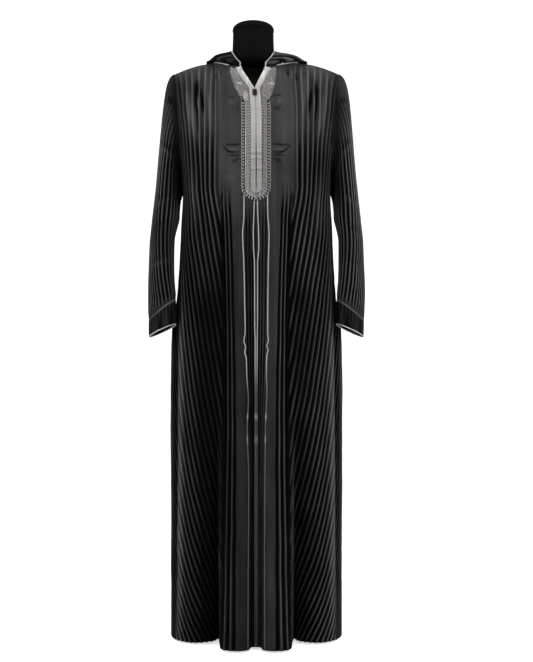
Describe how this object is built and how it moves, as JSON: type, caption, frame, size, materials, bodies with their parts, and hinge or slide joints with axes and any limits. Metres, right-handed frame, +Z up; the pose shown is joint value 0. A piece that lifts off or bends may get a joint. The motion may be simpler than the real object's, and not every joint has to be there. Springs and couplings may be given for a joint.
{
  "type": "hooded abaya robe on a limbless dress form",
  "caption": "Floor-length black hooded robe, finely pleated, with a laced zip placket, silver cords and cuffed sleeves, on a limbless dress form with a stand.",
  "frame": {"origin": "middle of the bounding box on the floor, under the form's stand", "axes": "+Z up the robe, the front facing -Y, +X to the viewer's right"},
  "size_m": [0.5534, 0.3547, 1.585],
  "materials": {
    "black_cloth": "finely pleated matte crepe",
    "silver_cord": "twisted metallic cord",
    "satin_band": "satin",
    "metallic_lace": "metallic braid",
    "black_jersey": "matte jersey",
    "black_steel": "satin black paint",
    "zip_metal": "darkened"
  },
  "bodies": {
    "robe_on_form": {"back": "black_cloth", "band_left": "satin_band", "band_right": "satin_band", "cord_centre_left": "silver_cord", "cord_centre_right": "silver_cord", "cord_cuff_left": "silver_cord", "cord_cuff_right": "silver_cord", "cord_hood": "silver_cord", "cord_outer_left": "silver_cord", "cord_outer_right": "silver_cord", "cuff_left": "black_cloth", "cuff_right": "black_cloth", "form_base": "black_steel", "form_cap": "black_jersey", "form_pole": "black_steel", "form_torso": "black_jersey", "front_left": "black_cloth", "front_right": "black_cloth", "hood": "black_cloth", "lace_left": "metallic_lace", "lace_right": "metallic_lace", "piping_neck_left": "silver_cord", "piping_neck_right": "silver_cord", "sleeve_left": "black_cloth", "sleeve_right": "black_cloth", "zip_slider": "zip_metal"},
    "pull_tab": {"zip_pull": "zip_metal"}
  },
  "joints": [
    {"name": "pull_tab_hinge", "type": "hinge", "parent": "robe_on_form", "child": "pull_tab", "pos_m": [-0.00391, -0.12531, 1.37293], "axis": [-1, 0, 0], "range_deg": [0, 150]}
  ]
}
